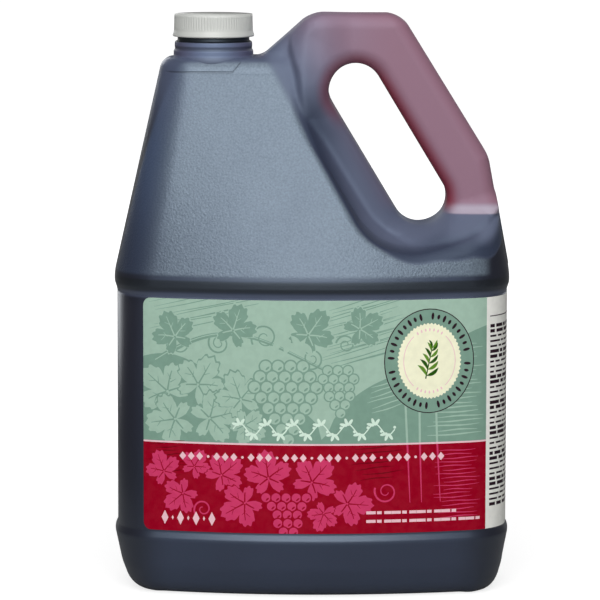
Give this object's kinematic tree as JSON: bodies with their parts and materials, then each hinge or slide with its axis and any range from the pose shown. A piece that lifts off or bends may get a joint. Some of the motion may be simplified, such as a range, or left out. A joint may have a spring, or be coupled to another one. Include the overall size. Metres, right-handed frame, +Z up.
{
  "type": "wine vinegar jug",
  "caption": "Oblong plastic handle jug of red wine vinegar with a slanted finger slot, sloped shoulder, sunk label panel, wrap label and ribbed screw cap.",
  "frame": {"origin": "middle of the jug's base, on the plane of its foot", "axes": "+Z up through the jug, +X towards the handle, -Y out of the labelled face"},
  "size_m": [0.2032, 0.113, 0.2953],
  "materials": {
    "jug_plastic": "smooth translucent blow-moulded plastic that looks dark slate over its contents, soft sheen, fine grain on the shoulder",
    "vinegar": "deep red wine vinegar, nearly black in depth",
    "cap_plastic": "off-white moulded plastic, fine upright ribs",
    "label_film": "satin printed label, sage green above and crimson below"
  },
  "bodies": {
    "root": {"bottle": "jug_plastic", "vinegar": "vinegar", "cap": "cap_plastic", "label": "label_film"}
  },
  "joints": []
}
